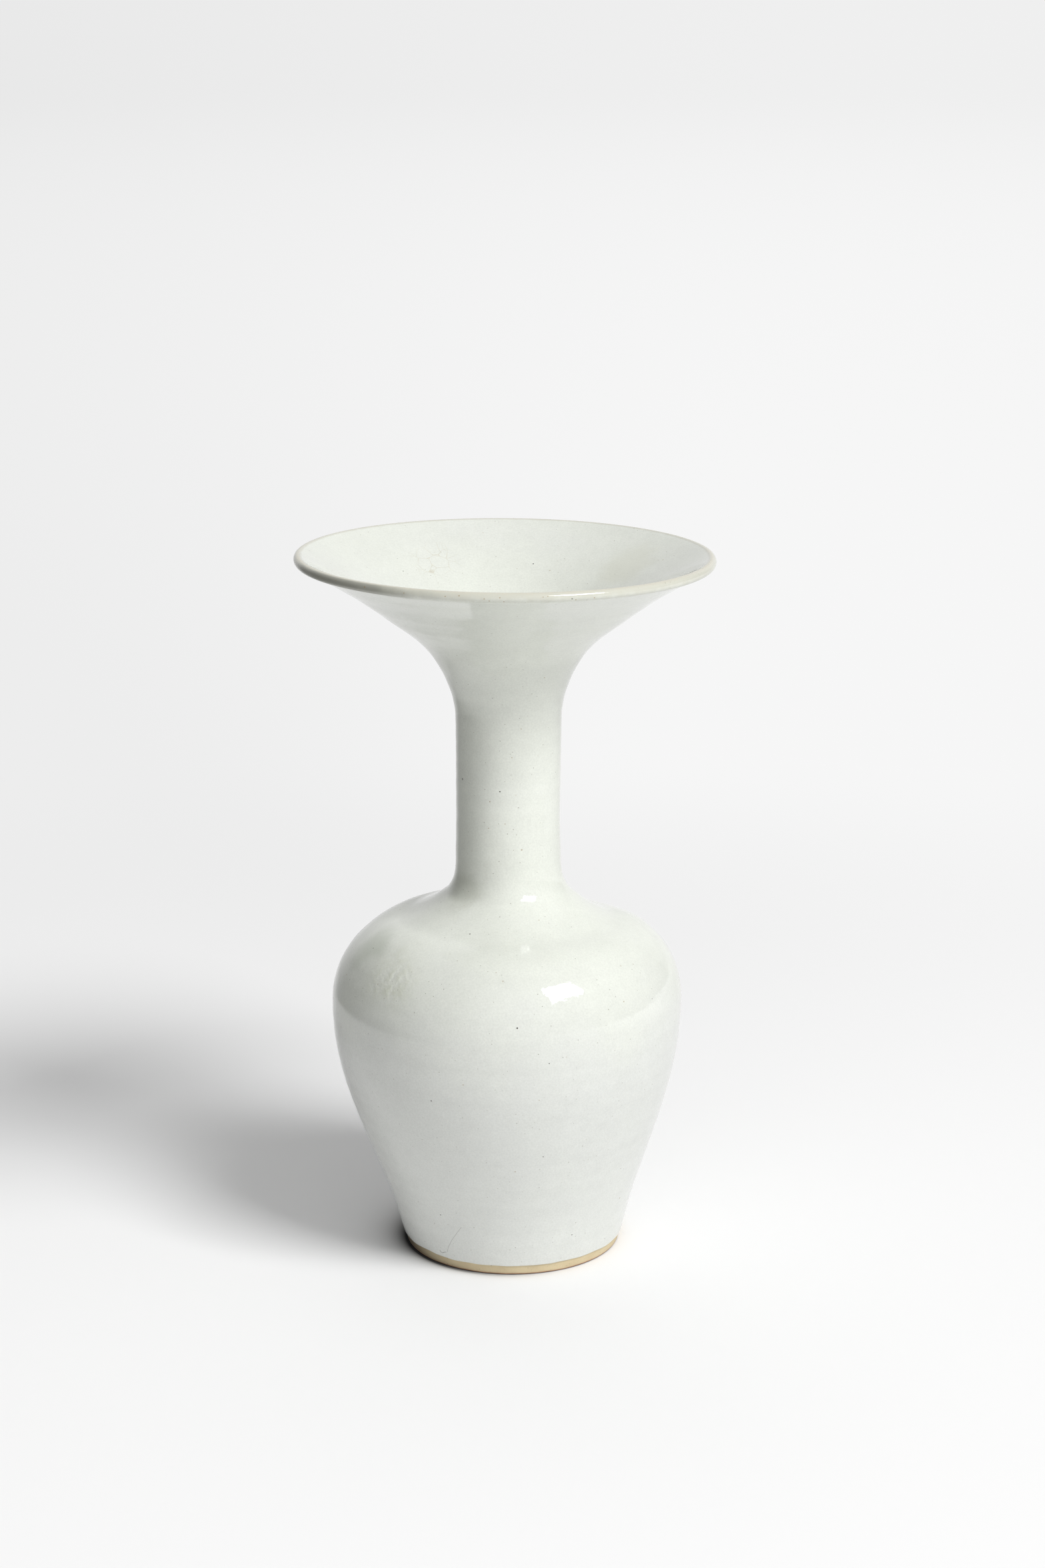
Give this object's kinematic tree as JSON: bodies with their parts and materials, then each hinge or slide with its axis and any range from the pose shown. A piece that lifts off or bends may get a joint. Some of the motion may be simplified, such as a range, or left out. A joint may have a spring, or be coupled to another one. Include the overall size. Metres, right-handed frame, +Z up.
{
  "type": "vase",
  "caption": "Stoneware vase with a wide trumpet mouth and rolled lip, slim straight neck, low shouldered belly and bare clay foot, glazed pale grey-green, for holding cut stems.",
  "frame": {"origin": "centre of the circle that the foot ring stands on, on the vase's axis", "axes": "+Z up along the vase's axis, from the foot to the mouth; X and Y are any two level directions, because the vase is round"},
  "size_m": [0.1622, 0.1622, 0.28],
  "materials": {
    "glaze": "glossy pale grey-green glaze with pinholes and faint crackle",
    "clay": "matt bare buff stoneware with fine speckle",
    "slip": "matt fired slip inside the joints"
  },
  "bodies": {
    "root": {"lower_body": "clay", "body_joint_slip": "slip", "upper_body": "clay", "neck_root_slip": "slip", "neck": "clay", "throat_slip": "slip", "flared_mouth": "clay", "outer_glaze": "glaze", "inner_glaze": "glaze"}
  },
  "joints": []
}
